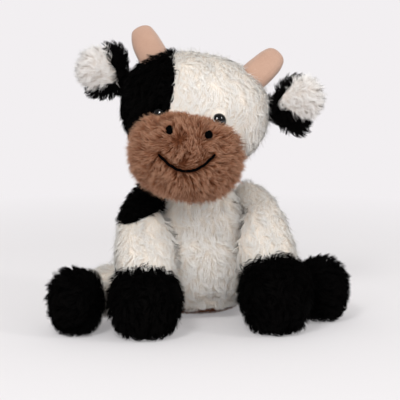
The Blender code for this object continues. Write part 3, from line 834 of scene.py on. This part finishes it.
def unit(arrows):
    return arrows / np.maximum(np.linalg.norm(arrows, axis=1), 1e-9)[:, None]


def closing(polygon):
    # a face that closes a cover's cut end has more corners than the rest, and grows no fur
    return len(polygon.vertices) > 4


def rooted(piece, count, draw):
    # evenly spread roots over a cover, with the cover's normal at each
    piece.data.calc_loop_triangles()
    capped = [closing(p) for p in piece.data.polygons]
    corners = np.array([t.vertices for t in piece.data.loop_triangles if not capped[t.polygon_index]])
    places, facing = points(piece), pointNormals(piece)
    a, b, c = (places[corners[:, index]] for index in range(3))
    area = np.linalg.norm(np.cross(b - a, c - a), axis=1)
    total = np.cumsum(area) / area.sum()
    picked = np.searchsorted(total, (np.arange(count) + draw.random(count)) / count)
    picked = np.minimum(picked, len(corners) - 1)
    s, t = np.sqrt(draw.random(count)), draw.random(count)
    shares = np.stack([1 - s, s * (1 - t), s * t], 1)[:, :, None]
    roots = (places[corners[picked]] * shares).sum(1)
    normals = unit((facing[corners[picked]] * shares).sum(1))
    return roots, normals


def turnedAbout(arrows, axes, angles):
    cosine, sine = np.cos(angles)[:, None], np.sin(angles)[:, None]
    return arrows * cosine + np.cross(axes, arrows) * sine


def insideOf(tree, low, high, places):
    near = np.nonzero(((places > low) & (places < high)).all(1))[0]
    hit = np.zeros(len(places), bool)
    for index in near:
        place = Vector(places[index])
        spot, normal, _, _ = tree.find_nearest(place)
        hit[index] = (place - spot).dot(normal) < 0
    return hit


skinTrees = {}
for body, panels in skins.items():
    for name, piece in panels.items():
        co = points(piece)
        skinTrees[name] = (body, treeOf(piece), co.min(0), co.max(0))


def insideBody(owner, places):
    hit = np.zeros(len(places), bool)
    for body, tree, low, high in skinTrees.values():
        if body == owner:
            hit |= insideOf(tree, low, high, places)
    return hit


def swings(body):
    # a body's own places: as it rests, and swung to each limit of its joint
    found = [Matrix.Identity(4)]
    for joint in frame["joints"]:
        if joint["child"] == body:
            pin = Matrix.Translation(joint["pos_m"])
            for limit in joint["range_deg"]:
                if limit:
                    turn = Matrix.Rotation(math.radians(limit), 4, Vector(joint["axis"]))
                    found.append(pin @ turn @ pin.inverted())
    return found


def moved(places, swing):
    swing = np.array(swing)
    return places @ swing[:3, :3].T + swing[:3, 3]


def hidden(places, body, always=False):
    # which places lie inside another body's covers, as the toy rests or however the two swing
    hit = np.zeros(len(places), bool)
    for owner in skins:
        if owner == body:
            continue
        inside = np.nonzero(insideBody(owner, places))[0]
        if always:
            for own in swings(body):
                for other in swings(owner):
                    if len(inside):
                        there = moved(places[inside], other.inverted() @ own)
                        inside = inside[insideBody(owner, there)]
        hit[inside] = True
    return hit


def overNeighbour(places, name):
    # which tips lie over another panel of the head than their own
    trees = {panel: skinTrees[panel][1] for panel in skins["head"]}
    own = trees.pop(name)
    hit = np.zeros(len(places), bool)
    for index, place in enumerate(places):
        place = Vector(place)
        away = own.find_nearest(place)[3]
        hit[index] = any(tree.find_nearest(place, away)[0] is not None for tree in trees.values())
    return hit


# No pile lies over the stitches and the eyes, this far from their middles
bare = {"smile": 0.0025, "nostril": 0.0032, "eye": 0.0092, "eyeShift": (0.0, -0.004, 0.0025),
        "search": 0.014}
bareSpots = KDTree(len(smileMiddle) + 4)
bareReach = []
for middle in smileMiddle:
    bareSpots.insert(middle, len(bareReach))
    bareReach.append(bare["smile"])
for side in ("right", "left"):
    bareSpots.insert(middleOf("nostril_" + side), len(bareReach))
    bareReach.append(bare["nostril"])
    bareSpots.insert(middleOf("eye_" + side) + np.array(bare["eyeShift"]), len(bareReach))
    bareReach.append(bare["eye"])
bareSpots.balance()


def overBare(places, normals, share):
    # which tips lie over the stitches or an eye
    hit = np.zeros(len(places), bool)
    for index, place in enumerate(places):
        spot, number, away = bareSpots.find(place)
        if away < bare["search"]:
            arrow = place - np.array(spot)
            arrow -= normals[index] * (arrow @ normals[index])
            hit[index] = np.linalg.norm(arrow) < bareReach[number] * share
    return hit


def heights(tree, places, normals):
    # how far each place stands off the cover, along its root's own normal
    spots = np.array([tree.find_nearest(Vector(place))[0] for place in places])
    return ((places - spots) * normals).sum(1)


def uvPlace(share, offset):
    # places a strand's tint or length on its UV square, with room between its facets
    return share * hairForm["uvFill"] + hairForm["uvMargin"] + offset * hairForm["uvFacet"]


def furMesh(name, lay, flat, roots, bends, tips, widths, tints, normals):
    count, size = len(roots), len(hairShape)
    share = hairShape[:, 2][None, :, None]
    line = ((1 - share) ** 2 * roots[:, None] + 2 * share * (1 - share) * bends[:, None]
            + share ** 2 * tips[:, None])
    side = unit(np.cross(tips - roots, normals + hairForm["nudge"]))
    other = unit(np.cross(tips - roots, side))
    spread = side[:, None] * hairShape[None, :, 0:1] + other[:, None] * hairShape[None, :, 1:2] * flat
    places = line + spread * widths[:, None, None]
    places[:, :, 2] = np.maximum(places[:, :, 2], hairForm["lowest"])
    mesh = bpy.data.meshes.new(name)
    mesh.vertices.add(count * size)
    mesh.vertices.foreach_set("co", places.ravel())
    loops = np.concatenate([np.array(face) for face in hairFaces])
    lengths = np.array([len(face) for face in hairFaces])
    allLoops = (loops[None] + (np.arange(count) * size)[:, None]).ravel()
    mesh.loops.add(len(allLoops))
    mesh.loops.foreach_set("vertex_index", allLoops)
    starts = np.concatenate([[0], np.cumsum(np.tile(lengths, count))[:-1]])
    mesh.polygons.add(count * len(hairFaces))
    mesh.polygons.foreach_set("loop_start", starts)
    mesh.update(calc_edges=True)
    across = uvPlace(tints[:, None], hairShape[None, loops, 0])
    along = uvPlace(hairShape[None, loops, 2], hairShape[None, loops, 1])
    spots = np.stack([across, np.broadcast_to(along, across.shape)], 2).ravel()
    for layer in ("strand", "OFBake"):
        mesh.uv_layers.new(name=layer).data.foreach_set("uv", spots)
    mesh.shade_smooth()
    own = unit(spread.reshape(-1, 3)) * (1 - lay) + np.repeat(normals, size, axis=0) * lay
    mesh.normals_split_custom_set_from_vertices(unit(own))  # a pile takes the light as its cover does
    piece = bpy.data.objects.new(name, mesh)
    scene.collection.objects.link(piece)
    return piece


# What all piles share: how hairs differ from their tuft, how they bow, and how they are cut back
grooming = {
    "strayTurn": 0.12, "strayLean": 0.06, "uprightLift": 0.5, "leanRange": (0.15, 1.35),  # radians
    "tuftLength": 0.10, "strayLength": 0.08, "widths": (0.8, 1.2),
    "tuftTip": 0.25,  # how wide a tuft's tip is beside its root
    "clumping": (0.7, 1.0),
    "bow": 0.12,
    "tuftTint": 0.6, "strayTint": 0.4,
    "bareTrims": 4, "bareCut": 0.65, "seamCut": 0.7,  # a cut is what one trim leaves of a hair
    "most": 19800,  # hairs in one piece, at 10 triangles each
}


def inTufts(roots, perTuft, draw):
    # each root's tuft, the root in that tuft's middle, and how many tufts there are
    tuftCount = max(3, int(len(roots) / perTuft))
    centres = draw.choice(len(roots), tuftCount, replace=False)
    finder = KDTree(tuftCount)
    for index, root in enumerate(centres):
        finder.insert(roots[root], index)
    finder.balance()
    tuft = np.array([finder.find(root)[1] for root in roots])
    return tuft, centres[tuft], tuftCount


def combed(roots, normals, tuft, tuftCount, values, draw):
    # the way that each hair lies along the cover
    stray = np.stack([ripple(roots, values["swirlSize"], draw) for _ in range(3)], 1)
    comb = unit(values["comb"](roots) + stray * values["stray"])
    flow = unit(comb - normals * (comb * normals).sum(1)[:, None])
    swirl = ripple(roots, values["swirlSize"], draw) * values["swirl"]
    swirl += draw.normal(size=tuftCount)[tuft] * values["tousle"]
    return turnedAbout(flow, normals, swirl + draw.normal(size=len(roots)) * grooming["strayTurn"])


def cutBack(roots, bends, tips, over, share):
    over = over[:, None]
    return (np.where(over, roots + (bends - roots) * share, bends),
            np.where(over, roots + (tips - roots) * share, tips))


def growFur(name, values, seed):
    body, tree = skinTrees[name][:2]
    cover = skins[body][name]
    draw = np.random.default_rng(seed)
    area = sum(p.area for p in cover.data.polygons if not closing(p)) * squareCentimetres
    roots, normals = rooted(cover, int(area * values["density"]), draw)
    shown = ~hidden(roots, body, always=True)
    roots, normals = roots[shown], normals[shown]
    count = len(roots)
    tuft, middle, tuftCount = inTufts(roots, values["perTuft"], draw)

    flow = combed(roots, normals, tuft, tuftCount, values, draw)
    lean = values["lean"] + draw.normal(size=tuftCount)[tuft] * values["leanSpread"]
    upright = draw.random(count) < values["upright"]
    lean = lean + draw.normal(size=count) * grooming["strayLean"] - upright * grooming["uprightLift"]
    lean = np.clip(lean, *grooming["leanRange"])
    length = values["length"] * (1 + draw.normal(size=tuftCount)[tuft] * grooming["tuftLength"]
                                 + draw.normal(size=count) * grooming["strayLength"])
    length = length * values["trim"](roots)
    arrow = normals * np.cos(lean)[:, None] + flow * np.sin(lean)[:, None]
    tips = roots + arrow * length[:, None]
    tuftTips = tips[middle] + (roots - roots[middle]) * grooming["tuftTip"]
    clump = values["clump"] * draw.uniform(*grooming["clumping"], count)
    tips += (tuftTips - tips) * clump[:, None]
    if values["hug"]:
        down = heights(tree, tips, normals) * values["hug"]
        tips -= normals * np.where(upright, 0.0, down)[:, None]
    bends = (roots + normals * (length * values["loft"])[:, None]
             + flow * (length * grooming["bow"])[:, None])

    if body == "head":
        for _ in range(grooming["bareTrims"]):
            over = overBare(tips, normals, values["bareShare"])
            over |= overBare((tips + bends) / 2, normals, values["bareShare"])
            bends, tips = cutBack(roots, bends, tips, over, grooming["bareCut"])
        for _ in range(values["seamTrims"]):
            over = overNeighbour(tips, name)
            bends, tips = cutBack(roots, bends, tips, over, grooming["seamCut"])

    # a hair rooted inside another body's covers is grown only where its tip is inside too
    keep = ~hidden(roots, body) | hidden(tips, body)
    tints = (draw.random(tuftCount)[tuft] * grooming["tuftTint"]
             + draw.random(count) * grooming["strayTint"])
    tints = np.clip(tints, 0, 1)
    widths = values["width"] * draw.uniform(*grooming["widths"], count)
    whole = [part[keep] for part in (roots, bends, tips, widths, tints, normals)]
    total = keep.sum()
    share = math.ceil(total / grooming["most"])
    for number in range(share):
        label = camel(name, "_fur") + (str(number + 1) if share > 1 else "")
        part = slice(number * total // share, (number + 1) * total // share)
        piece = furMesh(label, values["lay"], values["flat"], *[column[part] for column in whole])
        piece.data.materials.append(pileFinishes[plush[name]])
        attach(piece, body)
    print("  ", name, "area cm2", round(area, 1), "strands", total)
    return total


# Where each pile is combed from, beside the middle of its piece, and the way that it lies elsewhere
combing = {
    "crown": (0.0, 0.02, 0.05), "nose": (0.0, -0.012, 0.006), "shoulder": (0.0, 0.03, 0.04),
    "hip": (0.0, 0.03, 0.02), "hipInward": (0.2, 1.0, 1.0), "earInward": (0.6, 1.0, 1.0),
    "seat": (0, -0.2, -1), "tail": (0, 1, -0.4),
}


def awayFrom(place):
    return lambda places: places - np.array(place)


def toward(direction):
    return lambda places: np.broadcast_to(np.array(direction, float), places.shape)


def downAndOut(places):
    # down the body, and every way where the seat turns under
    return unit(places * (1.0, 1.0, 0.0)) - (0.0, 0.0, 1.0)


# Ways to trim a pile, as a share of its length
wornSeat = {"from": 0.004, "over": 0.012, "least": 0.6}
clippedBrow = {"height": 0.1605, "slope": 0.09, "loss": 58.0, "least": 0.35}  # loss for each metre of height
crown = middleOf("head_cover") + np.array(combing["crown"])
nose = middleOf("muzzle") + np.array(combing["nose"])


def untrimmed(places):
    return 1.0


def trimmedLow(places):
    # the pile is worn shorter where the seat meets the floor
    return np.clip((places[:, 2] - wornSeat["from"]) / wornSeat["over"], wornSeat["least"], 1.0)


def trimmedBrow(places):
    # the muzzle's pile is clipped short along its top, so that the eyes show over it
    rise = places[:, 2] + (places[:, 0] - nose[0]) * clippedBrow["slope"] - clippedBrow["height"]
    return np.clip(1.0 - rise * clippedBrow["loss"], clippedBrow["least"], 1.0)


# Piles: strands for each square centimetre, sizes in metres, turns and leans in radians
creamPile = {
    "density": 80, "perTuft": 8, "clump": 0.42,
    "swirlSize": 0.018, "swirl": 0.7, "stray": 0.012, "tousle": 0.45,
    "lean": 1.22, "leanSpread": 0.1, "upright": 0.08,
    "length": 0.0090, "width": 0.00021, "flat": 0.5, "loft": 0.25, "hug": 0.3,
    "lay": 0.5,  # how far a strand takes the light as its cover does
    "trim": untrimmed, "seamTrims": 1, "bareShare": 0.64,
}
blackPile = {
    **creamPile, "density": 85, "perTuft": 12, "clump": 0.65,
    "lean": 0.95, "leanSpread": 0.12,
    "length": 0.0080, "width": 0.00026, "flat": 0.8, "loft": 0.42, "hug": 0.0,
    "bareShare": 0.72,
}
brownPile = {
    **creamPile, "density": 240, "perTuft": 5, "clump": 0.3,
    "swirlSize": 0.014, "swirl": 0.4, "stray": 0.014, "tousle": 0.35,
    "lean": 0.8, "leanSpread": 0.22,
    "length": 0.0088, "width": 0.00015, "flat": 0.6, "loft": 0.42, "hug": 0.0, "lay": 0.4,
    "seamTrims": 2, "bareShare": 0.85,
}
whitePile = {
    **creamPile, "density": 190, "perTuft": 6, "clump": 0.3, "tousle": 0.6,
    "lean": 0.95, "leanSpread": 0.25,
    "length": 0.0082, "width": 0.00018, "loft": 0.34, "hug": 0.2,
}
earPile = {**blackPile, "length": 0.0072}
tailPile = {**creamPile, "length": 0.0045, "lean": 1.0}
limbPile = {**creamPile, "loft": 0.3, "hug": 0.2}

furs = {
    "body_cover": {
        **creamPile, "comb": downAndOut, "density": 95, "perTuft": 20, "clump": 0.6, "stray": 0.45,
        "lean": 1.08, "leanSpread": 0.16, "loft": 0.36, "hug": 0.1, "trim": trimmedLow,
    },
    "base_panel": {**brownPile, "comb": toward(combing["seat"]), "length": 0.003, "density": 60},
    "head_cover": {**creamPile, "comb": awayFrom(crown), "seamTrims": 2},
    "eye_patch": {**blackPile, "comb": awayFrom(crown)},
    "muzzle": {**brownPile, "comb": awayFrom(nose), "trim": trimmedBrow},
}
for side in ("right", "left"):
    shoulder = middleOf("arm_" + side) + np.array(combing["shoulder"])
    hip = middleOf("leg_" + side) * np.array(combing["hipInward"]) + np.array(combing["hip"])
    earRoot = middleOf("ear_back_" + side) * np.array(combing["earInward"])
    furs["arm_" + side] = {**limbPile, "comb": awayFrom(shoulder)}
    furs["paw_" + side] = {**blackPile, "comb": awayFrom(shoulder)}
    furs["leg_" + side] = {**limbPile, "comb": awayFrom(hip)}
    furs["foot_" + side] = {**blackPile, "comb": awayFrom(hip)}
    furs["ear_back_" + side] = {**earPile, "comb": awayFrom(earRoot)}
    furs["ear_lining_" + side] = {**whitePile, "comb": awayFrom(earRoot)}
furs["shoulder_patch"] = {**blackPile, "comb": furs["arm_right"]["comb"]}
furs["tail"] = {**tailPile, "comb": toward(combing["tail"])}
furs["tail_tuft"] = {**tailPile, "length": 0.006, "comb": toward(combing["tail"])}

strandTotal = sum(growFur(name, values, seed) for seed, (name, values) in enumerate(furs.items(), 1))
print("fur grown:", strandTotal, "strands")
